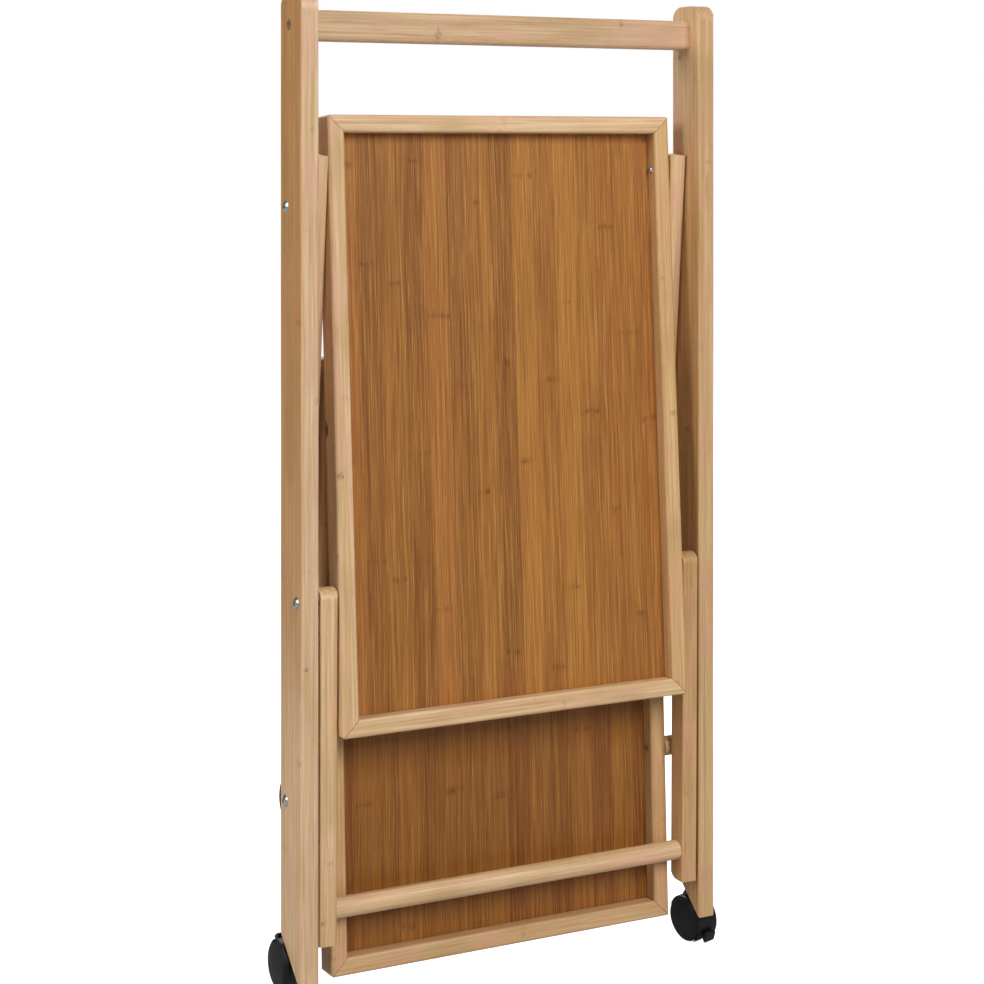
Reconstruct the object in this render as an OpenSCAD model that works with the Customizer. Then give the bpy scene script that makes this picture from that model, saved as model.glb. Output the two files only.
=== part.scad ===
// Folding kitchen trolley, shown folded and standing on its front casters.
// X runs across the trolley, +Y to the back, +Z up. Millimetres.
// The frame keeps its own datum: the tips of the posts are at z = 0 and their
// front faces at y = 0, and place() moves that datum to the middle of the floor.

/* [Posts and handle] */
// Width over the outer faces of the two posts
frame_w = 467; // [440:1:500]
// Thickness of a post
post_t = 19; // [17:0.5:20]
// Thickness of the rear legs and of the prop legs
board_t = 18; // [16:0.5:20]
// Depth of a post, front to back
post_d = 52; // [50:1:56]
// Height of a post above its lower tip
post_h = 954; // [940:1:980]
// Rounding along the long edges of a post
post_edge_r = 2; // [1:0.5:4]
// Corner radius at the top of a post, seen from the side
post_top_r = 16.5; // [8:0.5:22]
// Slope of the cut at the foot that carries the caster, degrees
foot_slope = 40; // [36:1:46]
// Depth of the handle bar
handle_d = 24; // [20:1:28]
// Height of the handle bar
handle_h = 30; // [24:1:34]
// Front face of the handle bar behind the front of the posts
handle_y = 18; // [12:1:22]
// Top of the handle bar below the top of the posts
handle_drop = 15.6; // [10:0.2:24]
// Rounding along the handle bar
handle_r = 4; // [2:0.5:11]

/* [Rear legs] */
// Depth of a rear leg
leg_d = 25; // [22:0.5:27]
// Side gap between boards that swing past each other
side_gap = 1.5; // [1:0.5:3]
// Lean of the folded rear legs, degrees
leg_lean = 5; // [4:0.1:6]
// Rear leg above its pivot
leg_above = 50; // [44:1:56]
// Pivot of the rear leg to its wheel axle
leg_reach = 595; // [585:1:600]
// Pivot of the rear leg to the rail that carries the lower tray
rail_reach = 486.2; // [484:0.2:487]
// Diameter of the round rails
rail_dia = 20; // [18:0.5:22]

/* [Trays] */
// Gap between the upper tray and a rear leg
upper_gap = 1; // [0.8:0.1:2]
// Gap between the lower tray and a rear leg
lower_gap = 3; // [2.5:0.5:6]
// Length of both trays
tray_l = 600; // [580:1:602]
// Width of a tray rail on its face
rim_w = 17.5; // [15:0.5:20]
// Depth of a tray rail
rim_h = 28; // [26:0.5:30]
// Rounding along a tray rail
rim_r = 3.2; // [1:0.2:4]
// Face of the rail down to the panel
panel_drop = 15; // [14.8:0.1:15.2]
// Thickness of the tray panel
panel_t = 4; // [3:0.2:5]
// Tilt of the folded upper tray, degrees
upper_tilt = 3.7; // [3:0.1:4]
// Tilt of the folded lower tray, degrees
lower_tilt = 2.35; // [2:0.05:3]

/* [Prop] */
// Depth of a prop leg
prop_d = 24; // [22:0.5:25]
// Prop pivot to the middle of its round bar
prop_reach = 298; // [294:1:302]
// Prop leg beyond the middle of its bar
prop_tail = 31.5; // [26:0.5:34]
// Prop leg above its pivot
prop_above = 13.5; // [12:0.5:18]

/* [Casters and wheels] */
// Diameter of a front caster wheel
caster_dia = 46; // [42:1:48]
// Width over the two wheels of a caster
caster_w = 32; // [30:1:36]
// Width of a caster's hood
hood_w = 26; // [22:1:28]
// Foot of the post to the caster axle, along the swivel
caster_drop = 25.5; // [25.5:0.5:29]
// Swivel to the caster axle, across
caster_trail = 15; // [12:0.5:18]
// Swivel of the left caster at rest, degrees
left_swivel = 180; // [-180:1:180]
// Swivel of the right caster at rest, degrees
right_swivel = 9; // [-20:1:60]
// Diameter of a rear wheel
rear_dia = 50; // [44:1:52]

/* [Hidden] */
$fn = 48;

bamboo = [0.80, 0.66, 0.47];
caramel = [0.58, 0.36, 0.19];
black = [0.07, 0.07, 0.07];
steel = [0.72, 0.71, 0.70];

// clearances
run_gap = 0.05;
set_gap = 0.02;

// board layers, measured out from the middle plane
post_in = frame_w / 2 - post_t;
leg_out = post_in - side_gap;
leg_in = leg_out - board_t;
upper_w = 2 * (leg_in - upper_gap);
lower_w = 2 * (leg_in - lower_gap);

// pivots, as [y, z] on the frame's datum
leg_pivot = [37.5, post_h - 206];
lower_pivot = [38.8, 173];
prop_pivot = [10.5, 369];
upper_pivot = leg_pivot + [-4.9, 34];
// the same two pivots on each tray, as [behind the face, below the back end]
upper_hold = [8.8, 55.3];
lower_hold = [10, 426];

bolt_r = 3;
head_r = 6.3;
head_h = 2.8;
insert_l = 14;

// notch of the upper tray that drops over the prop bar
hold_to_notch = 250.7;
notch_at = upper_hold[1] + hold_to_notch;
notch_in = 8.83;
notch_gap = 0.4;

foot_k = tan(foot_slope);
foot_mid = [24.3, 24.3 * foot_k];
caster_x = frame_w / 2 - post_t / 2;
wheel_r = caster_dia / 2;
web_w = 8;

// middle of the trolley's outline and the floor under its lowest wheel
mid = [1.99, 52.21, -32.66];

module place() {
    translate([-mid[0], -mid[1], -mid[2]])
    children();
}

module both_sides() {
    children();
    mirror([1, 0, 0])
    children();
}

// flat rectangle with round corners, made of circles so that its edges stay true
module round_rect(w, d, r) {
    translate([r, 0])
    square([w - 2 * r, d]);
    translate([0, r])
    square([w, d - 2 * r]);
    for (x = [r, w - r], y = [r, d - r])
        translate([x, y])
        circle(r);
}

// lays a side view drawn as [y, z] across the board, from x0 to x0 + w
module side_view(x0, w) {
    translate([x0, 0, 0])
    rotate([90, 0, 90])
    linear_extrude(w)
    children();
}

// pin along +X from x0
module xpin(x0, l, r, yz) {
    translate([x0, yz[0], yz[1]])
    rotate([0, 90, 0])
    cylinder(h = l, r = r);
}

// domed bolt head whose flat side is at x0 and whose dome points along dir
module dome_head(x0, yz, r, h, dir) {
    cap_r = (r * r + h * h) / (2 * h);
    translate([x0, yz[0], yz[1]])
    rotate([0, dir * 90, 0])
    difference() {
        intersection() {
            cylinder(h = h, r = r);
            translate([0, 0, h - cap_r])
            sphere(cap_r, $fn = 96);
        }
        // cross recess
        for (a = [0, 90])
            rotate([0, 0, a + 20])
            translate([-r * 0.5, -0.6, h * 0.45])
            cube([r, 1.2, h]);
    }
}

// posts and handle
module post_outline() {
    difference() {
        union() {
            square([post_d, post_h - post_top_r]);
            translate([post_top_r, 0])
            square([post_d - 2 * post_top_r, post_h]);
            for (y = [post_top_r, post_d - post_top_r])
                translate([y, post_h - post_top_r])
                circle(post_top_r, $fn = 96);
        }
        polygon([[0, 0], [post_d + 1, (post_d + 1) * foot_k], [post_d + 1, -1], [0, -1]]);
    }
}

module post() {
    difference() {
        intersection() {
            translate([post_in, 0, -1])
            linear_extrude(post_h + 2)
            round_rect(post_t, post_d, post_edge_r);
            side_view(post_in - 1, post_t + 2)
            post_outline();
        }
        for (p = [leg_pivot, lower_pivot])
            xpin(post_in - 1, post_t + 2, bolt_r + set_gap, p);
        xpin(post_in - 1, post_t + 2, bolt_r + run_gap, prop_pivot);
        // counterbored hole of the handle screw
        xpin(post_in - 1, post_t + 2, 2.5, handle_mid);
        xpin(frame_w / 2 - 5, 6, 5.5, handle_mid);
        // socket of the caster stem, square to the cut
        caster_frame(1, 0)
        translate([0, 0, -1])
        cylinder(h = 27, r = 4 + set_gap);
    }
}

handle_mid = [handle_y + handle_d / 2, post_h - handle_drop - handle_h / 2];

module left_post() {
    color(bamboo)
    mirror([1, 0, 0])
    post();
}

module right_post() {
    color(bamboo)
    post();
}

module handle_bar() {
    color(bamboo)
    difference() {
        translate([-post_in, handle_y, handle_mid[1] - handle_h / 2])
        rotate([90, 0, 90])
        linear_extrude(2 * post_in)
        round_rect(handle_d, handle_h, handle_r);
        both_sides()
        xpin(post_in - 30, 31, 2, handle_mid);
    }
}

module handle_screws() {
    color(steel)
    both_sides() {
        xpin(post_in - 28, post_t + 24, 2 - set_gap, handle_mid);
        difference() {
            xpin(frame_w / 2 - 5 + set_gap, 3, 4.6, handle_mid);
            xpin(frame_w / 2 - 3.6, 3, 1.6, handle_mid);
        }
    }
}

// pivot hardware
module pivot_bolt(yz, inner_x) {
    xpin(inner_x, frame_w / 2 - inner_x + 0.5, bolt_r, yz);
    dome_head(frame_w / 2, yz, head_r, head_h, 1);
}

module ring(x0, l, r, hole, yz) {
    difference() {
        xpin(x0, l, r, yz);
        xpin(x0 - 1, l + 2, hole, yz);
    }
}

module leg_pivot_bolts() {
    color(steel)
    both_sides()
    pivot_bolt(leg_pivot, leg_in + 2);
}

module leg_pivot_washers() {
    color(black)
    both_sides()
    ring(leg_out + 0.1, side_gap - 0.1, 7, bolt_r + set_gap, leg_pivot);
}

module leg_pivot_inserts() {
    color(steel)
    both_sides()
    ring(leg_in, insert_l, 4.5, bolt_r + run_gap, leg_pivot);
}

module tray_pivot_bolts() {
    color(steel)
    both_sides()
    pivot_bolt(lower_pivot, lower_w / 2 - rim_w + 3.5);
}

module tray_spacers() {
    color(bamboo)
    both_sides()
    ring(lower_w / 2 + 0.3, post_in - lower_w / 2 - 0.3, rail_dia / 2, bolt_r + set_gap, lower_pivot);
}

module prop_pivot_bolts() {
    color(steel)
    both_sides() {
        xpin(leg_in + 2, frame_w / 2 - leg_in - 1.2, bolt_r, prop_pivot);
        dome_head(frame_w / 2 + 0.2, prop_pivot, head_r, head_h, 1);
    }
}

module prop_washers() {
    color(black)
    both_sides()
    ring(leg_out + 0.1, side_gap - 0.2, 7, bolt_r + set_gap, prop_pivot);
}

module prop_inserts() {
    color(steel)
    both_sides()
    ring(leg_in, insert_l, 4.5, bolt_r + run_gap, prop_pivot);
}

// rear legs
// moves a shape drawn about the leg pivot, with the leg straight down, to its lean
module leg_pose() {
    translate([0, leg_pivot[0], leg_pivot[1]])
    rotate([leg_lean, 0, 0])
    children();
}

// the upper tray's pivot seen from the leg
function lean_back(v) = [
    v[0] * cos(leg_lean) + v[1] * sin(leg_lean),
    v[1] * cos(leg_lean) - v[0] * sin(leg_lean)
];
upper_on_leg = lean_back(upper_pivot - leg_pivot);
leg_front = -11.3;
leg_end = leg_reach - rear_dia / 2 - 4.5;

module rear_leg() {
    difference() {
        leg_pose()
        difference() {
            translate([leg_in, leg_front, -leg_end])
            linear_extrude(leg_end + leg_above)
            round_rect(board_t, leg_d, 2.5);
            xpin(leg_in - 1, board_t + 2, bolt_r + run_gap, [0, 0]);
            xpin(leg_in - 1, insert_l + 1, 4.5 + set_gap, [0, 0]);
            xpin(leg_in - 1, 13, 2.5 + set_gap, upper_on_leg);
            // socket for the rail's tenon
            xpin(leg_in - 1, 12, 6 + set_gap, [leg_front + leg_d / 2, -rail_reach]);
            for (y = [-6, 6])
                translate([leg_in + board_t / 2, leg_front + leg_d / 2 + y, -leg_end - 1])
                cylinder(h = 15, r = 1.5 + set_gap);
        }
    }
}

module rear_leg_left() {
    color(bamboo)
    mirror([1, 0, 0])
    rear_leg();
}

module rear_leg_right() {
    color(bamboo)
    rear_leg();
}

module round_rail(yz) {
    xpin(-leg_in, 2 * leg_in, rail_dia / 2, yz);
    xpin(-leg_in - 10.5, 2 * leg_in + 21, 6, yz);
}

module rear_rail() {
    color(bamboo)
    leg_pose()
    round_rail([leg_front + leg_d / 2, -rail_reach]);
}

module upper_tray_bolts() {
    color(steel)
    both_sides() {
        xpin(upper_w / 2 - rim_w - 0.4, rim_w + upper_gap + 10.5, 2.5, upper_pivot);
        dome_head(upper_w / 2 - rim_w - 0.2, upper_pivot, 4, 2.6, -1);
    }
}

module upper_tray_washers() {
    color(black)
    both_sides()
    ring(upper_w / 2 + 0.1, upper_gap - 0.1, 5, 2.5 + set_gap, upper_pivot);
}

// rear wheels
axle_y = leg_front + leg_d / 2;
fork_w = board_t - 1;
fork_t = 1.5;

module rear_fork() {
    x0 = leg_in + 0.5;
    difference() {
        leg_pose()
        difference() {
            union() {
                translate([x0, axle_y - 11, -leg_end - fork_t])
                cube([fork_w, 22, fork_t]);
                for (x = [x0, x0 + fork_w - fork_t])
                    side_view(x, fork_t)
                    union() {
                        polygon([
                            [axle_y - 11, -leg_end - 0.2], [axle_y + 11, -leg_end - 0.2],
                            [axle_y + 7, -leg_reach], [axle_y - 7, -leg_reach]
                        ]);
                        translate([axle_y, -leg_reach])
                        circle(7);
                    }
            }
            xpin(x0 - 1, fork_w + 2, 2 + set_gap, [axle_y, -leg_reach]);
            for (y = [-6, 6])
                translate([leg_in + board_t / 2, axle_y + y, -leg_end - 4])
                cylinder(h = 8, r = 1.5 + set_gap);
        }
    }
}

module rear_fork_left() {
    color(black)
    mirror([1, 0, 0])
    rear_fork();
}

module rear_fork_right() {
    color(black)
    rear_fork();
}

module rear_fork_screws() {
    color(steel)
    both_sides()
    leg_pose()
    for (y = [-6, 6])
        translate([leg_in + board_t / 2, axle_y + y, -leg_end - fork_t]) {
            cylinder(h = 14, r = 1.5);
            translate([0, 0, -1.2])
            cylinder(h = 1.2, r = 2.6);
        }
}

module rear_axles() {
    color(steel)
    both_sides()
    leg_pose() {
        xpin(leg_in + 0.3, fork_w + 0.4, 2, [axle_y, -leg_reach]);
        for (x = [leg_in - 0.3, leg_in + 0.5 + fork_w])
            xpin(x, 0.8, 3.2, [axle_y, -leg_reach]);
    }
}

module rear_wheel() {
    w = 12.4;
    translate([leg_in + board_t / 2, 0, 0])
    leg_pose()
    translate([0, axle_y, -leg_reach])
    rotate([0, 90, 0])
    rotate_extrude($fn = 96)
    difference() {
        union() {
            translate([2 + run_gap, -w / 2])
            square([rear_dia / 2 - 2 - run_gap - 2.5, w]);
            translate([10, -w / 2 + 2.5])
            square([rear_dia / 2 - 10, w - 5]);
            for (y = [-w / 2 + 2.5, w / 2 - 2.5])
                translate([rear_dia / 2 - 2.5, y])
                circle(2.5);
        }
        // dished faces between hub and tyre
        for (s = [-1, 1])
            translate([12.5, s * w / 2])
            scale([1, 1])
            square([11, 4], center = true);
    }
}

module rear_wheel_left() {
    color(black)
    mirror([1, 0, 0])
    rear_wheel();
}

module rear_wheel_right() {
    color(black)
    rear_wheel();
}

// trays
// A tray is drawn with its face at y = 0 and its back end at z = 0, hanging down.
module tray_pose(pivot, hold, tilt) {
    translate([0, pivot[0], pivot[1]])
    rotate([-tilt, 0, 0])
    translate([0, -hold[0], hold[1]])
    children();
}

module tray_outline(w) {
    translate([-w / 2, 0, -tray_l])
    translate([0, rim_h + 1, 0])
    rotate([90, 0, 0])
    linear_extrude(rim_h + 2)
    round_rect(w, tray_l, 4);
}

// thin edge of the panel, or with some extra the groove that holds it
groove_d = 6;
rebate = 1;
field_gap = 0.3;

module panel_edge(w, extra) {
    side = rim_w - groove_d - extra;
    translate([-w / 2 + side, panel_drop + rebate - extra, -tray_l + side])
    cube([w - 2 * side, panel_t - rebate + 2 * extra, tray_l - 2 * side]);
}

module tray_panel(w) {
    side = rim_w + field_gap;
    panel_edge(w, 0);
    translate([-w / 2 + side, panel_drop, -tray_l + side])
    cube([w - 2 * side, panel_t, tray_l - 2 * side]);
}

// side rail on the +X side, mitred at both ends
module side_rail(w, hold, hole_r) {
    difference() {
        intersection() {
            translate([w / 2 - rim_w, 0, -tray_l])
            linear_extrude(tray_l)
            round_rect(rim_w, rim_h, rim_r);
            translate([0, rim_h + 1, 0])
            rotate([90, 0, 0])
            linear_extrude(rim_h + 2)
            polygon([
                [w / 2, 0], [w / 2 - rim_w, -rim_w],
                [w / 2 - rim_w, -tray_l + rim_w], [w / 2, -tray_l]
            ]);
            tray_outline(w);
        }
        panel_edge(w, 0.1);
        xpin(w / 2 - rim_w - 1, rim_w + 2, hole_r, [hold[0], -hold[1]]);
        nail_holes(w);
        children();
    }
}

// end rail with its face down to z = -rim_w, at the back end of the tray
module back_rail(w) {
    difference() {
        intersection() {
            translate([-w / 2, 0, -rim_w])
            rotate([90, 0, 90])
            linear_extrude(w)
            round_rect(rim_h, rim_w, rim_r);
            translate([0, rim_h + 1, 0])
            rotate([90, 0, 0])
            linear_extrude(rim_h + 2)
            polygon([
                [-w / 2, 0], [w / 2, 0],
                [w / 2 - rim_w, -rim_w], [-w / 2 + rim_w, -rim_w]
            ]);
            tray_outline(w);
        }
        panel_edge(w, 0.1);
        nail_holes(w);
    }
}

module front_rail(w) {
    translate([0, 0, -tray_l])
    mirror([0, 0, 1])
    back_rail(w);
}

// two nails at each mitre, through the end rails into the side rails
nail_l = 13.2;
nail_r = 0.9;
nail_in = 5.5;

module nails(w) {
    for (z = [-nail_in, -tray_l + nail_in], y = [8, 22])
        both_sides()
        xpin(w / 2 - nail_l - 0.8, nail_l, nail_r, [y, z]);
}

module nail_holes(w) {
    for (z = [-nail_in, -tray_l + nail_in], y = [8, 22])
        both_sides()
        xpin(w / 2 - nail_l - 0.8 - set_gap, nail_l + 1.8, nail_r + set_gap, [y, z]);
}

// hollow across both side rails that rests on the prop bar
module prop_notch() {
    xpin(-upper_w, 2 * upper_w, rail_dia / 2 + notch_gap, [rim_h - notch_in + rail_dia / 2, -notch_at]);
}

module upper_pose() {
    tray_pose(upper_pivot, upper_hold, upper_tilt)
    children();
}

module lower_pose() {
    tray_pose(lower_pivot, lower_hold, lower_tilt)
    children();
}

module upper_tray_left_rail() {
    color(bamboo)
    upper_pose()
    mirror([1, 0, 0])
    side_rail(upper_w, upper_hold, 2.5 + run_gap)
    prop_notch();
}

module upper_tray_right_rail() {
    color(bamboo)
    upper_pose()
    side_rail(upper_w, upper_hold, 2.5 + run_gap)
    prop_notch();
}

module upper_tray_back_rail() {
    color(bamboo)
    upper_pose()
    back_rail(upper_w);
}

module upper_tray_front_rail() {
    color(bamboo)
    upper_pose()
    front_rail(upper_w);
}

module upper_tray_panel() {
    color(caramel)
    upper_pose()
    tray_panel(upper_w);
}

module upper_tray_nails() {
    color(steel)
    upper_pose()
    nails(upper_w);
}

nut_r = 4;
nut_l = 11;
flange_r = 4.8;
flange_t = 1.4;

module nut_hole() {
    x0 = lower_w / 2 - rim_w;
    at = [lower_hold[0], -lower_hold[1]];
    xpin(x0 - 1, nut_l + 1.5, nut_r + set_gap, at);
    xpin(x0 - 1, 1 + flange_t + set_gap, flange_r + set_gap, at);
}

module lower_tray_left_rail() {
    color(bamboo)
    lower_pose()
    mirror([1, 0, 0])
    side_rail(lower_w, lower_hold, bolt_r + run_gap)
    nut_hole();
}

module lower_tray_right_rail() {
    color(bamboo)
    lower_pose()
    side_rail(lower_w, lower_hold, bolt_r + run_gap)
    nut_hole();
}

module lower_tray_back_rail() {
    color(bamboo)
    lower_pose()
    back_rail(lower_w);
}

module lower_tray_front_rail() {
    color(bamboo)
    lower_pose()
    front_rail(lower_w);
}

module lower_tray_panel() {
    color(caramel)
    lower_pose()
    tray_panel(lower_w);
}

module lower_tray_nails() {
    color(steel)
    lower_pose()
    nails(lower_w);
}

// sleeve nuts of the lower tray's pivot, let in flush with the inner face of the rail
module tray_pivot_nuts() {
    x0 = lower_w / 2 - rim_w;
    color(steel)
    both_sides()
    difference() {
        union() {
            xpin(x0, nut_l, nut_r, lower_pivot);
            xpin(x0, flange_t, flange_r, lower_pivot);
        }
        xpin(x0 + 3, nut_l + 1, bolt_r + run_gap, lower_pivot);
        xpin(x0 - 1, 3, 1.8, lower_pivot);
    }
}

// prop
// A prop leg is drawn about its pivot, straight down, and then leans a little.
prop_lean = 0.48;
prop_tail_r = 12;
prop_bar_at = prop_pivot + prop_reach * [sin(prop_lean), -cos(prop_lean)];

module prop_outline() {
    r = prop_d / 2;
    foot = -prop_reach - prop_tail;
    translate([-r, foot + prop_tail_r])
    square([prop_d, prop_above - r - foot - prop_tail_r]);
    translate([0, prop_above - r])
    circle(r, $fn = 96);
    // the foot is square in front and rounded at the back
    translate([-r, foot])
    square([prop_d - prop_tail_r, prop_tail_r + 1]);
    intersection() {
        translate([r - prop_tail_r, foot + prop_tail_r])
        circle(prop_tail_r, $fn = 96);
        translate([-r, foot])
        square([prop_d, prop_tail_r + 1]);
    }
}

module prop_leg() {
    long = prop_above + prop_reach + prop_tail;
    translate([0, prop_pivot[0], prop_pivot[1]])
    rotate([prop_lean, 0, 0])
    difference() {
        intersection() {
            translate([leg_in, -prop_d / 2, prop_above - long - 1])
            linear_extrude(long + 2)
            round_rect(board_t, prop_d, 2.5);
            side_view(leg_in - 1, board_t + 2)
            prop_outline();
        }
        xpin(leg_in - 1, board_t + 2, bolt_r + run_gap, [0, 0]);
        xpin(leg_in - 1, insert_l + 1, 4.5 + set_gap, [0, 0]);
        xpin(leg_in - 1, 12, 6 + set_gap, [0, -prop_reach]);
    }
}

module prop_leg_left() {
    color(bamboo)
    mirror([1, 0, 0])
    prop_leg();
}

module prop_leg_right() {
    color(bamboo)
    prop_leg();
}

module prop_bar() {
    color(bamboo)
    round_rail(prop_bar_at);
}

// front casters
// frame on the sloping foot: +Z into the post, the wheels hang below towards -Y
module caster_frame(side, turn) {
    translate([side * caster_x, foot_mid[0], foot_mid[1]])
    rotate([foot_slope, 0, 0])
    rotate([0, 0, turn])
    children();
}

hood_gap = 0.6;
hood_wall = 1;
hood_in = wheel_r + hood_gap;
hood_r = hood_in + hood_wall;
// the hood reaches from its rear lip over the top to its front lip, degrees
hood_rear = -12;
hood_front = 200;
boss_r = 8.5;

module caster_stem() {
    // pin in the post, collar against the foot and pin down into the hood
    cylinder(h = 24, r = 4);
    translate([0, 0, -0.9])
    cylinder(h = 0.9, r = 7.5);
    translate([0, 0, -15])
    cylinder(h = 15, r = 3);
}

// wedge below the hood, where the wheels come out
module hood_mouth() {
    l = 3 * hood_r;
    polygon([
        [0, 0], l * [cos(hood_front), sin(hood_front)], [-l, -l], [l, -l],
        l * [cos(hood_rear), sin(hood_rear)]
    ]);
}

// disc of the hood with round shoulders, its axis along X
module hood_disc() {
    sr = 2.5;
    rotate([0, 90, 0])
    rotate_extrude($fn = 96)
    difference() {
        union() {
            translate([0, -hood_w / 2])
            square([hood_r - sr, hood_w]);
            translate([0, -hood_w / 2 + sr])
            square([hood_r, hood_w - 2 * sr]);
            for (s = [-1, 1])
                translate([hood_r - sr, s * (hood_w / 2 - sr)])
                circle(sr);
        }
        translate([-hood_r, -hood_w])
        square([hood_r, 2 * hood_w]);
    }
}

module caster_hood() {
    difference() {
        union() {
            translate([0, -caster_trail, -caster_drop]) {
                difference() {
                    hood_disc();
                    side_view(-hood_w, 2 * hood_w)
                    hood_mouth();
                }
                // cheek round the axle, between the wheels
                xpin(-web_w / 2, web_w, 7, [0, 0]);
            }
            // swivel boss
            translate([0, 0, -12])
            cylinder(h = 10.8, r = boss_r);
        }
        translate([0, -caster_trail, -caster_drop]) {
            // pockets that the two wheels turn in
            xpin(web_w / 2, caster_w, hood_in, [0, 0]);
            xpin(-web_w / 2 - caster_w, caster_w, hood_in, [0, 0]);
            xpin(-20, 40, 2.5 + run_gap, [0, 0]);
            // slot for the pedal in the front of the web
            translate([-pedal_w / 2 - 0.4, -hood_r - 1, -10])
            cube([pedal_w + 0.8, hood_r + pedal_pin[0] + 4.4, 19.5]);
        }
        translate([0, 0, -16])
        cylinder(h = 20, r = 3 + run_gap);
    }
    translate([0, -caster_trail, -caster_drop])
    xpin(-web_w / 2 + 0.5, web_w - 1, 1, pedal_pin);
}

pedal_w = 4;
tab_w = 12.5;
pedal_pin = [-wheel_r + 6.5, 3.5];

module caster_pedal() {
    // blade in the slot of the web, with a broad tab for the toe
    translate([0, -caster_trail, -caster_drop])
    difference() {
        union() {
            xpin(-pedal_w / 2, pedal_w, 2.6, pedal_pin);
            side_view(-pedal_w / 2, pedal_w)
            polygon([
                pedal_pin + [0.5, -2.4], pedal_pin + [0.5, 2.4],
                [-hood_r - 1.6, 7.6], [-hood_r - 1.6, 2.6]
            ]);
            intersection() {
                side_view(-tab_w / 2, tab_w)
                polygon([
                    [-hood_r - 0.6, 9.2], [-hood_r - 2.2, 11], [-hood_r - 4.2, 8.4],
                    [-hood_r - 6.6, -0.4], [-hood_r - 5.4, -1.6], [-hood_r - 0.8, 1.6]
                ]);
                // round corners of the tab, seen from its end
                translate([-tab_w / 2, -hood_r, -2.4])
                rotate([90, 0, 0])
                linear_extrude(12)
                round_rect(tab_w, 14, 3);
            }
        }
        xpin(-pedal_w, 2 * pedal_w, 1 + run_gap, pedal_pin);
    }
}

module caster_wheel(s) {
    // wheel on the side s of the web, its outer face crowned
    w = (caster_w - web_w) / 2 - 0.5;
    sr = 4;
    crown = 1.2;
    crown_r = (pow(wheel_r - sr, 2) + crown * crown) / (2 * crown);
    translate([s * (web_w / 2 + 0.5), -caster_trail, -caster_drop])
    rotate([0, s * 90, 0])
    difference() {
        union() {
            rotate_extrude($fn = 96) {
                square([wheel_r - sr, w - crown]);
                square([wheel_r, w - crown - sr]);
                translate([wheel_r - sr, w - crown - sr])
                circle(sr);
            }
            intersection() {
                translate([0, 0, w - crown - 1])
                cylinder(h = crown + 1, r = wheel_r - sr, $fn = 96);
                translate([0, 0, w - crown_r])
                sphere(crown_r, $fn = 96);
            }
        }
        translate([0, 0, -1])
        cylinder(h = w - 1.5, r = 2.5);
    }
}

module caster_axle() {
    translate([0, -caster_trail, -caster_drop])
    xpin(-caster_w / 2 + 3, caster_w - 6, 2.5 - set_gap, [0, 0]);
}

module caster_left_stem() {
    color(steel)
    caster_frame(-1, left_swivel)
    caster_stem();
}

module caster_left_hood() {
    color(black)
    caster_frame(-1, left_swivel)
    caster_hood();
}

module caster_left_wheel_outer() {
    color(black)
    caster_frame(-1, left_swivel)
    caster_wheel(1);
}

module caster_left_wheel_inner() {
    color(black)
    caster_frame(-1, left_swivel)
    caster_wheel(-1);
}

module caster_left_axle() {
    color(steel)
    caster_frame(-1, left_swivel)
    caster_axle();
}

module caster_left_pedal() {
    color(black)
    caster_frame(-1, left_swivel)
    caster_pedal();
}

module caster_right_stem() {
    color(steel)
    caster_frame(1, right_swivel)
    caster_stem();
}

module caster_right_hood() {
    color(black)
    caster_frame(1, right_swivel)
    caster_hood();
}

module caster_right_wheel_outer() {
    color(black)
    caster_frame(1, right_swivel)
    caster_wheel(1);
}

module caster_right_wheel_inner() {
    color(black)
    caster_frame(1, right_swivel)
    caster_wheel(-1);
}

module caster_right_axle() {
    color(steel)
    caster_frame(1, right_swivel)
    caster_axle();
}

module caster_right_pedal() {
    color(black)
    caster_frame(1, right_swivel)
    caster_pedal();
}

place() left_post();
place() right_post();
place() handle_bar();
place() handle_screws();
place() leg_pivot_bolts();
place() leg_pivot_washers();
place() tray_pivot_bolts();
place() tray_spacers();
place() rear_leg_left();
place() rear_leg_right();
place() rear_rail();
place() leg_pivot_inserts();
place() upper_tray_bolts();
place() upper_tray_washers();
place() rear_fork_left();
place() rear_fork_right();
place() rear_fork_screws();
place() rear_axles();
place() rear_wheel_left();
place() rear_wheel_right();
place() upper_tray_left_rail();
place() upper_tray_right_rail();
place() upper_tray_front_rail();
place() upper_tray_back_rail();
place() upper_tray_panel();
place() upper_tray_nails();
place() lower_tray_left_rail();
place() lower_tray_right_rail();
place() lower_tray_front_rail();
place() lower_tray_back_rail();
place() lower_tray_panel();
place() lower_tray_nails();
place() tray_pivot_nuts();
place() prop_leg_left();
place() prop_leg_right();
place() prop_bar();
place() prop_inserts();
place() prop_pivot_bolts();
place() prop_washers();
place() caster_left_stem();
place() caster_left_hood();
place() caster_left_wheel_outer();
place() caster_left_wheel_inner();
place() caster_left_axle();
place() caster_left_pedal();
place() caster_right_stem();
place() caster_right_hood();
place() caster_right_wheel_outer();
place() caster_right_wheel_inner();
place() caster_right_axle();
place() caster_right_pedal();
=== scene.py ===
import math

import bpy
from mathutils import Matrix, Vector


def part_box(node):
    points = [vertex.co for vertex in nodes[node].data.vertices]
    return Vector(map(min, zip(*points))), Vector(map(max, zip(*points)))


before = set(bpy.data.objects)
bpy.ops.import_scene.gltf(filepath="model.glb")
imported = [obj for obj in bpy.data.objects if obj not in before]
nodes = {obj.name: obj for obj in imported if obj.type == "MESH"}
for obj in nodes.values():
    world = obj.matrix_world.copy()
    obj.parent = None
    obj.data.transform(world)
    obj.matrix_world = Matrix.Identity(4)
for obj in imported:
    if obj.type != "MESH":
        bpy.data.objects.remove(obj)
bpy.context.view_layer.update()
scene = bpy.context.scene
print("frame loaded:", len(nodes), "nodes")

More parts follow.
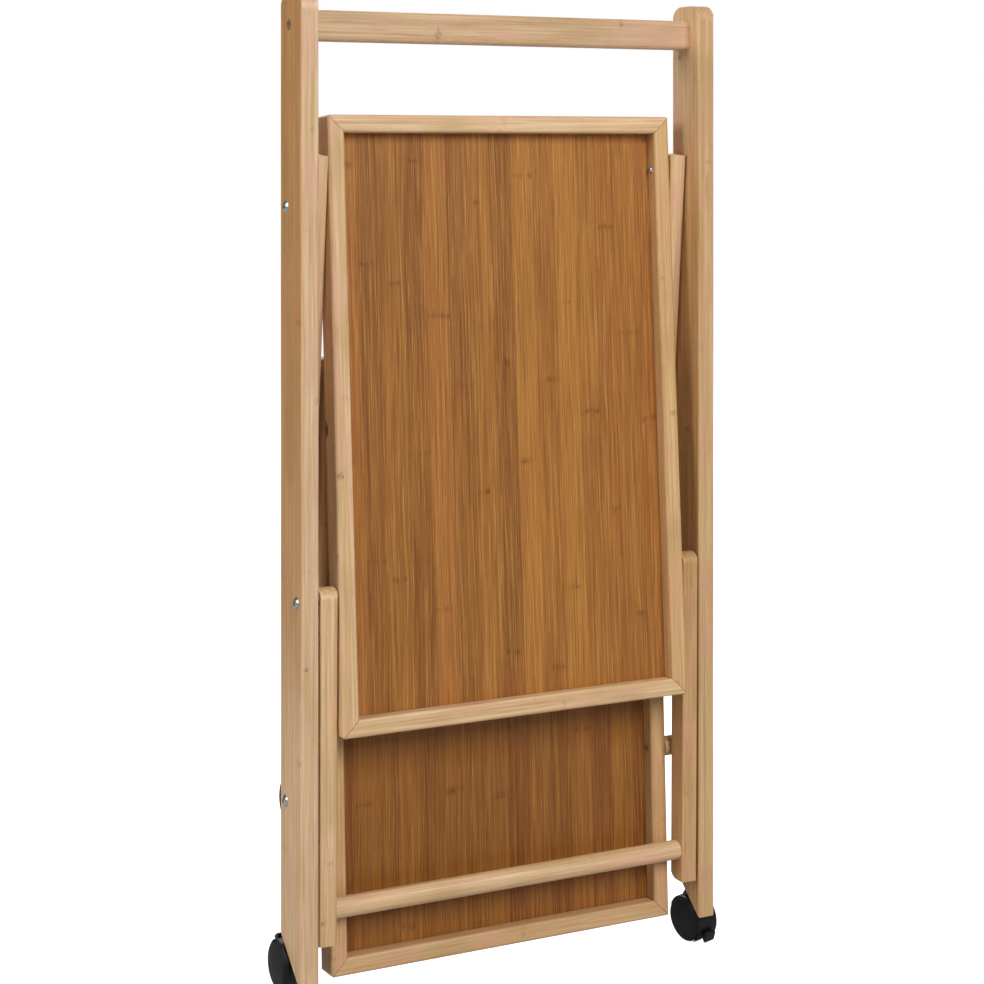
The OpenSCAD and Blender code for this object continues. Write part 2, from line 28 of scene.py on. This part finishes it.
# middle of the trolley's width: the frame's zero is the middle of its whole outline
frameMiddle = -0.00199


def srgb(r, g, b):
    # colour given as on a screen, 0 to 255, to the linear numbers of the shaders
    out = []
    for c in (r, g, b):
        c = c / 255
        out.append(c / 12.92 if c <= 0.04045 else ((c + 0.055) / 1.055) ** 2.4)
    return (*out, 1.0)


def tan(*colour):
    # one even tint for a whole board
    return lambda desk, x, y, z: srgb(*colour)


upperTray = {
    "tilt": 3.7,
    "half": 0.194,
    "top": 0.86700,
    "bottom": 0.26700,
    "panelToneAndShade": (0.89, 0.86, 0.68, 1),
    "railShadeTint": tan(255, 255, 255),
    # painted shade: the right rail is tinted darker than the other rails
    "rightRailShadeTint": tan(244, 236, 216),
}
lowerTray = {
    "tilt": 2.35,
    "half": 0.192,
    "top": 0.63094,
    "bottom": 0.03094,
    # painted shade: the lower tray's panel and rails are tinted darker, for the upper tray's shade
    # over them
    "panelToneAndShade": (0.70, 0.63, 0.43, 1),
    "railShadeTint": tan(246, 240, 228),
    "rightRailShadeTint": tan(240, 232, 214),
}


class Wire:
    # a number running through a material, so that shader maths reads as Python
    def __init__(self, desk, socket):
        self.desk = desk
        self.socket = socket

    def __add__(self, other):
        return self.desk.sums("ADD", self, other)

    def __radd__(self, other):
        return self.desk.sums("ADD", other, self)

    def __sub__(self, other):
        return self.desk.sums("SUBTRACT", self, other)

    def __rsub__(self, other):
        return self.desk.sums("SUBTRACT", other, self)

    def __mul__(self, other):
        return self.desk.sums("MULTIPLY", self, other)

    def __rmul__(self, other):
        return self.desk.sums("MULTIPLY", other, self)

    def __truediv__(self, other):
        return self.desk.sums("DIVIDE", self, other)

    def __rtruediv__(self, other):
        return self.desk.sums("DIVIDE", other, self)

    def __pow__(self, other):
        return self.desk.sums("POWER", self, other)

    def __abs__(self):
        return self.desk.sums("ABSOLUTE", self)


class Desk:
    # one material and its nodes, laid out in the order in which they are asked for
    bumpStrength = 0.6

    def __init__(self, name):
        self.material = bpy.data.materials.new(name)
        self.material.use_nodes = True
        self.tree = self.material.node_tree
        self.tree.nodes.clear()
        self.output = self.tree.nodes.new("ShaderNodeOutputMaterial")

    def node(self, kind, settings=None, values=None, out=0):
        made = self.tree.nodes.new(kind)
        for key, value in (settings or {}).items():
            if key == "stops":
                ramp = made.color_ramp
                while len(ramp.elements) < len(value):
                    ramp.elements.new(0.5)
                for element, (place, colour) in zip(ramp.elements, value):
                    element.position = place
                    element.color = colour
            else:
                setattr(made, key, value)
        for key, value in (values or {}).items():
            if isinstance(value, Wire):
                self.tree.links.new(value.socket, made.inputs[key])
            else:
                made.inputs[key].default_value = value
        return Wire(self, made.outputs[out])

    def sums(self, operation, *terms):
        return self.node("ShaderNodeMath", {"operation": operation}, dict(enumerate(terms)))

    def floor(self, value):
        return self.sums("FLOOR", value)

    def fract(self, value):
        return self.sums("FRACT", value)

    def clamp(self, value, low=0.0, high=1.0):
        return self.node("ShaderNodeClamp", None, {"Value": value, "Min": low, "Max": high})

    def smooth(self, value, low, high):
        # soft step from 0 below low to 1 above high
        return self.node(
            "ShaderNodeMapRange",
            {"interpolation_type": "SMOOTHSTEP"},
            {"Value": value, "From Min": low, "From Max": high},
        )

    def vector(self, x, y, z):
        return self.node("ShaderNodeCombineXYZ", None, {"X": x, "Y": y, "Z": z})

    def parts(self, vector):
        split = self.tree.nodes.new("ShaderNodeSeparateXYZ")
        self.tree.links.new(vector.socket, split.inputs[0])
        return [Wire(self, s) for s in split.outputs]

    def noise(self, vector, scale=1.0, detail=2.0, roughness=0.5):
        return self.node(
            "ShaderNodeTexNoise",
            None,
            {"Vector": vector, "Scale": scale, "Detail": detail, "Roughness": roughness},
        )

    def chance(self, vector):
        return self.node("ShaderNodeTexWhiteNoise", None, {"Vector": vector})

    def blend(self, factor, first, second, way="MIX"):
        return self.node(
            "ShaderNodeMix",
            {"data_type": "RGBA", "blend_type": way},
            {0: factor, 6: first, 7: second},
            2,
        )

    def finish(self, values, bump=None, bumpHeight=0.0002):
        if bump is not None:
            values["Normal"] = self.node(
                "ShaderNodeBump",
                None,
                {"Height": bump, "Strength": self.bumpStrength, "Distance": bumpHeight},
            )
        shader = self.node("ShaderNodeBsdfPrincipled", None, values)
        self.tree.links.new(shader.socket, self.output.inputs[0])
        return self.material

    def place(self, tilt=0.0, shift=(0, 0, 0)):
        # object coordinates, turned upright where a board leans
        coords = self.node("ShaderNodeTexCoord", None, None, 3)
        return self.node(
            "ShaderNodeMapping",
            None,
            {"Vector": coords, "Location": shift, "Rotation": (math.radians(tilt), 0, 0)},
        )


bamboo = {
    "pale": srgb(228, 196, 156),
    "deep": srgb(196, 154, 100),
    "pink": srgb(220, 174, 140),
    "olive": srgb(190, 158, 108),
    "fibre": srgb(158, 112, 64),
    "knuckle": srgb(120, 78, 40),
    "seam": srgb(60, 36, 18),
    "stripWide": 0.0175,
    "layerThick": 0.0064,
    "knuckleEvery": 0.42,
}


def mitreLine(desk, x, z, corner):
    # thin dark joint running in from the four corners of a tray
    half, top, bottom = corner
    inFromSide = half - abs(x - frameMiddle)
    upper = abs(inFromSide - (top - z))
    lower = abs(inFromSide - (z - bottom))
    return 1 - desk.smooth(desk.sums("MINIMUM", upper, lower), 0.00012, 0.00055)


def makeBamboo(name, along="Z", tilt=0.0, seed=0.0, corner=None, tint=None, look=bamboo):
    desk = Desk(name)
    x, y, z = desk.parts(desk.place(tilt))
    if along == "Z":
        thick, wide, length = x, y, z
    else:
        thick, wide, length = y, z, x
    # strips glued side by side and in layers
    wander = desk.noise(desk.vector(seed, 2.0, length * 4), 1.0, 1.0, 0.5) * 0.002
    layer = desk.floor((thick + wander) / look["layerThick"] + 0.37 + seed)
    strip = desk.floor(wide / look["stripWide"] + 0.21 + seed)
    tone = desk.chance(desk.vector(layer, strip, seed))
    other = desk.chance(desk.vector(strip + 7.3, layer + 2.1, seed + 4.0))
    fine = desk.noise(
        desk.vector(thick * 1300, wide * 1300, length * 14 + tone * 40), 1.0, 3.0, 0.7
    )
    streaks = desk.noise(
        desk.vector(thick * 330, wide * 330, length * 5 + other * 30), 1.0, 2.0, 0.6
    )
    cloud = desk.noise(desk.vector(thick * 28, wide * 28, length * 9 + seed), 1.0, 2.0, 0.5)
    blush = desk.noise(desk.vector(thick * 45, wide * 45, length * 16 + seed * 3), 1.0, 2.0, 0.55)
    # knuckles of the cane: a short band of broken fibres, seldom on any one strip
    turn = desk.fract(length / look["knuckleEvery"] + other * 5.7)
    away = abs(turn - 0.5) * look["knuckleEvery"]
    ragged = desk.noise(desk.vector(thick * 560, wide * 560, length * 260), 1.0, 3.0, 0.8)
    lobes = desk.noise(desk.vector(thick * 120, wide * 170, length * 90), 1.0, 2.0, 0.6)
    inStrip = abs(desk.fract(wide / look["stripWide"] + 0.21 + seed) - 0.5)
    bold = desk.smooth(other, 0.35, 0.8) * 0.75 + 0.25
    band = desk.smooth(0.0052 - away + (lobes - 0.5) * 0.016 - inStrip * 0.006, 0.0, 0.006) * bold
    marks = band * desk.smooth(ragged, 0.5, 0.6)
    nick = desk.noise(desk.vector(thick * 1500, wide * 1500, length * 160 + seed), 1.0, 1.0, 0.5)
    colour = desk.blend(
        desk.clamp(tone * 0.3 + (streaks - 0.5) * 2.3 + 0.3), look["pale"], look["deep"]
    )
    colour = desk.blend(desk.smooth(blush, 0.46, 0.66) * 0.75, colour, look["pink"])
    colour = desk.blend(desk.smooth(cloud, 0.5, 0.7) * 0.5, colour, look["olive"])
    colour = desk.blend(desk.smooth(fine, 0.5, 0.66) * 0.42, colour, look["fibre"])
    colour = desk.blend(desk.smooth(nick, 0.73, 0.79) * 0.35, colour, look["knuckle"])
    colour = desk.blend(band * 0.2 + marks * 0.7, colour, look["knuckle"])
    # a tint per board: an even tone on some, painted light and shade on the posts, the right rails,
    # the lower tray's rails and the right prop leg
    if tint:
        colour = desk.blend(1.0, colour, tint(desk, x, y, z), "MULTIPLY")
    if corner:
        colour = desk.blend(mitreLine(desk, x, z, corner) * 0.85, colour, look["seam"])
    rough = 0.44 + (fine - 0.5) * 0.16
    height = fine * 0.6 - marks * 0.5
    return desk.finish(
        {"Base Color": colour, "Roughness": rough, "Coat Weight": 0.1, "Coat Roughness": 0.32},
        height,
        0.0001,
    )


panelLook = {
    "light": srgb(184, 124, 62),
    "dark": srgb(138, 84, 38),
    "red": srgb(156, 90, 50),
    "fibre": srgb(104, 56, 20),
    "glow": srgb(214, 162, 96),
    "knuckle": srgb(84, 42, 18),
    "stripWide": 0.0245,
    "knuckleEvery": 0.29,
}


def makePanelBoard(name, tilt, seed, tint, look=panelLook):
    desk = Desk(name)
    x, y, z = desk.parts(desk.place(tilt))
    across = (x - frameMiddle) / look["stripWide"] + 0.5 + seed
    strip = desk.floor(across)
    inStrip = desk.fract(across)
    tone = desk.chance(desk.vector(strip, 3.0, seed))
    other = desk.chance(desk.vector(strip, 11.0, seed + 2.0))
    third = desk.chance(desk.vector(strip, 23.0, seed + 5.0))
    # fibres that wander a little along the strip
    drift = desk.noise(desk.vector(strip * 3.1, 0.0, z * 5), 1.0, 1.0, 0.5) * 0.005
    fibres = desk.noise(
        desk.vector((x + drift) * 1500, y * 400, z * 13 + tone * 50), 1.0, 3.0, 0.72
    )
    bands = desk.noise(
        desk.vector((x + drift) * 340, y * 200, z * 4 + other * 50), 1.0, 2.0, 0.6
    )
    cloud = desk.noise(desk.vector(x * 22, y * 20, z * 7 + seed), 1.0, 2.0, 0.5)
    turn = desk.fract(z / look["knuckleEvery"] + other * 5.3)
    away = abs(turn - 0.5) * look["knuckleEvery"]
    freckle = desk.noise(desk.vector(x * 620, y * 400, z * 420), 1.0, 3.0, 0.75)
    lobes = desk.noise(desk.vector(x * 150, y * 100, z * 60 + other * 9), 1.0, 1.0, 0.5)
    middle = abs(inStrip - 0.5)
    band = desk.smooth(0.005 - away + (lobes - 0.5) * 0.02 - middle * 0.006, 0.0, 0.009)
    marks = band * desk.smooth(freckle, 0.50, 0.64)
    parity = desk.fract(strip / 2) * 0.7
    share = desk.clamp(tone * 0.4 + parity + (bands - 0.5) * 1.6 + 0.06 + (cloud - 0.5) * 0.5)
    colour = desk.blend(share, look["light"], look["dark"])
    colour = desk.blend(desk.smooth(third, 0.4, 0.9) * 0.34, colour, look["red"])
    colour = desk.blend(desk.smooth(fibres, 0.52, 0.68) * 0.66, colour, look["fibre"])
    colour = desk.blend(desk.smooth(fibres, 0.48, 0.32) * 0.7, colour, look["glow"])
    colour = desk.blend(band * 0.34 + marks * 0.6, colour, look["knuckle"])
    seam = desk.smooth(abs(inStrip - 0.5), 0.485, 0.5)
    colour = desk.blend(seam * 0.35, colour, look["fibre"])
    # an even tone for the upper panel; for the lower panel also painted shade under the upper tray
    colour = desk.blend(1.0, colour, tint, "MULTIPLY")
    height = fibres * 0.7 - seam * 0.6 - marks * 0.3
    return desk.finish(
        {
            "Base Color": colour,
            "Roughness": 0.44 + (fibres - 0.5) * 0.2,
            "Specular IOR Level": 0.3,
        },
        height,
        0.0001,
    )


boltHead = {"outerFace": 0.2335, "crossReach": 0.00215, "crossTop": 0.0021, "edge": 0.0033}


def boltRecessShade(desk, node):
    # painted shade: dark in the cross recess of the heads, and a little round their edge
    low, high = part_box(node)
    x, y, z = desk.parts(desk.place())
    across = y - (low[1] + high[1]) / 2
    up = z - (low[2] + high[2]) / 2
    fromAxis = (across * across + up * up) ** 0.5
    above = abs(x - frameMiddle) - boltHead["outerFace"]
    inside = desk.smooth(fromAxis, boltHead["crossReach"] + 0.0001, boltHead["crossReach"])
    sunk = desk.smooth(above, boltHead["crossTop"], boltHead["crossTop"] - 0.0002)
    rim = desk.smooth(fromAxis, boltHead["edge"], boltHead["edge"] + 0.0007)
    return desk.clamp(inside * sunk * 0.94 + rim * 0.3)


def makeSteel(name, base=srgb(205, 203, 200), rough=0.28, boltNode=None):
    desk = Desk(name)
    p = desk.place()
    rub = desk.noise(p, 900.0, 3.0, 0.6)
    tarnish = desk.noise(p, 160.0, 2.0, 0.5)
    colour = desk.blend(desk.smooth(tarnish, 0.45, 0.75) * 0.35, base, srgb(140, 136, 130))
    # painted shade in the cross recess of the bolt heads and round their edge
    if boltNode:
        colour = desk.blend(boltRecessShade(desk, boltNode), colour, srgb(22, 20, 18))
    return desk.finish(
        {"Base Color": colour, "Metallic": 0.92, "Roughness": rough + (rub - 0.5) * 0.18},
        rub,
        0.00005,
    )


def makePlastic(name, base, worn, rough, grain=1400.0):
    # moulded plastic with a fine grain and dust on it
    desk = Desk(name)
    p = desk.place()
    pebble = desk.noise(p, grain, 2.0, 0.5)
    dust = desk.noise(p, 70.0, 3.0, 0.6)
    colour = desk.blend(desk.smooth(dust, 0.45, 0.8) * 0.35, base, worn)
    return desk.finish(
        {"Base Color": colour, "Roughness": rough + (dust - 0.5) * 0.2, "Specular IOR Level": 0.32},
        pebble,
        0.00006,
    )


def dress(material, *names):
    for name in names:
        nodes[name].data.materials.clear()
        nodes[name].data.materials.append(material)


# where the painted light and shade on the posts start and end: across the board, and up it
postLightAndShade = {
    "leftOuter": (-0.2335, -0.2352),
    "rightInner": (0.2132, 0.2127),
    "towardsFoot": (0.42, 0.24),
    "towardsTop": (0.72, 0.92),
}


def leftPostShade(desk, x, y, z):
    # painted shade: the outer side is a darker, yellower strip that pales towards the foot
    outer = desk.smooth(x, *postLightAndShade["leftOuter"])
    height = desk.smooth(z, *postLightAndShade["towardsFoot"])
    side = desk.blend(height, srgb(218, 195, 157), srgb(242, 237, 229))
    return desk.blend(outer, srgb(246, 247, 250), side)


def rightPostLightAndShade(desk, x, y, z):
    # painted light and shade: the inner side is palest at the top and darker lower down; the rest
    # of the post is tinted evenly a little darker
    inner = desk.smooth(x, *postLightAndShade["rightInner"])
    height = desk.smooth(z, *postLightAndShade["towardsTop"])
    side = desk.blend(height, srgb(236, 222, 196), srgb(255, 255, 255))
    return desk.blend(inner, srgb(234, 228, 214), side)


postLeft = makeBamboo("bambooPostLeft", "Z", 0, 0.0, None, leftPostShade)
postRight = makeBamboo("bambooPostRight", "Z", 0, 3.0, None, rightPostLightAndShade)
dress(postLeft, "left_post")
dress(postRight, "right_post")
dress(makeBamboo("bambooHandle", "X", 0, 5.0, None, tan(240, 240, 244)), "handle_bar")
dress(makeBamboo("bambooLegs", "Z", -5.0, 8.0), "rear_leg_left", "rear_leg_right")
dress(makeBamboo("bambooPropLeft", "Z", 0, 12.0), "prop_leg_left")
# painted shade: the right prop leg is tinted darker than the left one
dress(makeBamboo("bambooPropRight", "Z", 0, 47.0, None, tan(236, 226, 208)), "prop_leg_right")
dress(makeBamboo("bambooBar", "X", 0, 15.0), "prop_bar")
dress(makeBamboo("bambooRearRail", "X", 0, 17.0), "rear_rail")
dress(makeBamboo("bambooSpacer", "X", 0, 19.0), "tray_spacers")


def dressTray(word, tray, seed):
    corner = (tray["half"], tray["top"], tray["bottom"])
    for place, along, step in (
        ("left", "Z", 0),
        ("right", "Z", 3),
        ("front", "X", 6),
        ("back", "X", 9),
    ):
        # painted shade: the right rail of each tray, and every rail of the lower tray, gets a
        # darker tint
        board = makeBamboo(
            "bamboo" + word.title() + place.title(), along, tray["tilt"], seed + step, corner,
            tray["rightRailShadeTint"] if place == "right" else tray["railShadeTint"],
        )
        dress(board, word + "_tray_" + place + "_rail")
    caramel = makePanelBoard("caramel" + word.title(), tray["tilt"], seed + 40, tray["panelToneAndShade"])
    dress(caramel, word + "_tray_panel")


dressTray("upper", upperTray, 21.0)
dressTray("lower", lowerTray, 62.0)
steel = makeSteel("nickelSteel")
dress(
    steel,
    "handle_screws",
    "tray_pivot_nuts",
    "upper_tray_bolts",
    "leg_pivot_inserts",
    "prop_inserts",
    "rear_fork_screws",
    "rear_axles",
    "upper_tray_nails",
    "lower_tray_nails",
    "caster_left_stem",
    "caster_right_stem",
    "caster_left_axle",
    "caster_right_axle",
)
for bolts in ("leg_pivot_bolts", "tray_pivot_bolts", "prop_pivot_bolts"):
    dress(makeSteel("steel_" + bolts, boltNode=bolts), bolts)
blackNylon = makePlastic("blackNylon", srgb(5, 5, 6), srgb(14, 14, 15), 0.6)
dress(
    blackNylon,
    "leg_pivot_washers",
    "upper_tray_washers",
    "prop_washers",
    "rear_wheel_left",
    "rear_wheel_right",
    "caster_left_wheel_outer",
    "caster_left_wheel_inner",
    "caster_right_wheel_outer",
    "caster_right_wheel_inner",
)
dress(
    makePlastic("blackHood", srgb(8, 8, 9), srgb(20, 20, 21), 0.46),
    "caster_left_hood",
    "caster_right_hood",
    "caster_left_pedal",
    "caster_right_pedal",
)
dress(
    makePlastic("blackForkCoat", srgb(10, 10, 10), srgb(22, 22, 22), 0.5),
    "rear_fork_left",
    "rear_fork_right",
)
print("materials set")

# shading that keeps the true edges of the boards
edgeAngle = 30
bpy.ops.object.select_all(action="DESELECT")
for cadNode in nodes.values():
    cadNode.select_set(True)
    bpy.context.view_layer.objects.active = cadNode
bpy.ops.object.shade_smooth_by_angle(angle=math.radians(edgeAngle))
bpy.ops.object.select_all(action="DESELECT")

room = {"floorSize": 16.0, "floorColour": 0.5, "floorGlow": 0.95}


def makeFloor():
    bpy.ops.object.select_all(action="DESELECT")
    bpy.ops.mesh.primitive_plane_add(size=room["floorSize"], location=(0.6, 1.2, 0))
    floor = bpy.context.object
    floor.name = "floor"
    desk = Desk("paleFloor")
    shade = desk.node(
        "ShaderNodeBsdfDiffuse", None, {"Color": (*[room["floorColour"]] * 3, 1)}
    )
    ray = desk.node("ShaderNodeLightPath", None, None, "Is Camera Ray")
    glow = desk.node(
        "ShaderNodeEmission", None, {"Color": (1, 1, 1, 1), "Strength": ray * room["floorGlow"]}
    )
    both = desk.node("ShaderNodeAddShader", None, {0: shade, 1: glow})
    desk.tree.links.new(both.socket, desk.output.inputs[0])
    floor.data.materials.append(desk.material)


def makeWorld(skyStrength):
    world = bpy.data.worlds.new("studio")
    scene.world = world
    world.use_nodes = True
    tree = world.node_tree
    tree.nodes.clear()
    out = tree.nodes.new("ShaderNodeOutputWorld")
    soft = tree.nodes.new("ShaderNodeBackground")
    soft.inputs[0].default_value = (1, 1, 1, 1)
    soft.inputs[1].default_value = skyStrength
    white = tree.nodes.new("ShaderNodeBackground")
    white.inputs[0].default_value = (1, 1, 1, 1)
    white.inputs[1].default_value = 1.0
    path = tree.nodes.new("ShaderNodeLightPath")
    most = tree.nodes.new("ShaderNodeMath")
    most.operation = "MAXIMUM"
    mix = tree.nodes.new("ShaderNodeMixShader")
    tree.links.new(path.outputs["Is Camera Ray"], most.inputs[0])
    tree.links.new(path.outputs["Is Transmission Ray"], most.inputs[1])
    tree.links.new(most.outputs[0], mix.inputs[0])
    tree.links.new(soft.outputs[0], mix.inputs[1])
    tree.links.new(white.outputs[0], mix.inputs[2])
    tree.links.new(mix.outputs[0], out.inputs[0])


def makeLamp(name, place, target, size, power):
    data = bpy.data.lights.new(name, "AREA")
    data.shape = "RECTANGLE"
    data.size, data.size_y = size
    data.energy = power
    lamp = bpy.data.objects.new(name, data)
    scene.collection.objects.link(lamp)
    lamp.location = place
    lamp.rotation_mode = "QUATERNION"
    lamp.rotation_quaternion = (Vector(target) - Vector(place)).to_track_quat("-Z", "Y")


makeFloor()
makeWorld(0.12)
makeLamp("frontLight", (0.3, -3.7, 2.9), (0, 0, 0.5), (2.6, 2.2), 153)
makeLamp("leftLight", (-3.6, -0.2, 2.3), (0, 0, 0.6), (2.0, 2.0), 94)
makeLamp("rightLight", (3.6, 0.3, 1.6), (0, 0, 0.5), (2.0, 2.0), 34)
makeLamp("backLight", (0.4, 3.4, 3.4), (0, 0, 0.5), (2.6, 2.2), 110)
print("floor and light set")

lens = {"place": (-1.02726, -1.98682, 0.83631), "turn": -27.256, "focal": 80.067, "drop": -0.34838}
cameraData = bpy.data.cameras.new("photoCamera")
cameraData.sensor_width = 36
cameraData.lens = lens["focal"]
cameraData.shift_y = lens["drop"]
camera = bpy.data.objects.new("photoCamera", cameraData)
scene.collection.objects.link(camera)
camera.location = lens["place"]
camera.rotation_euler = (math.radians(90), 0, math.radians(lens["turn"]))
scene.camera = camera
scene.view_settings.view_transform = "Standard"
print("camera set")

bpy.context.view_layer.update()
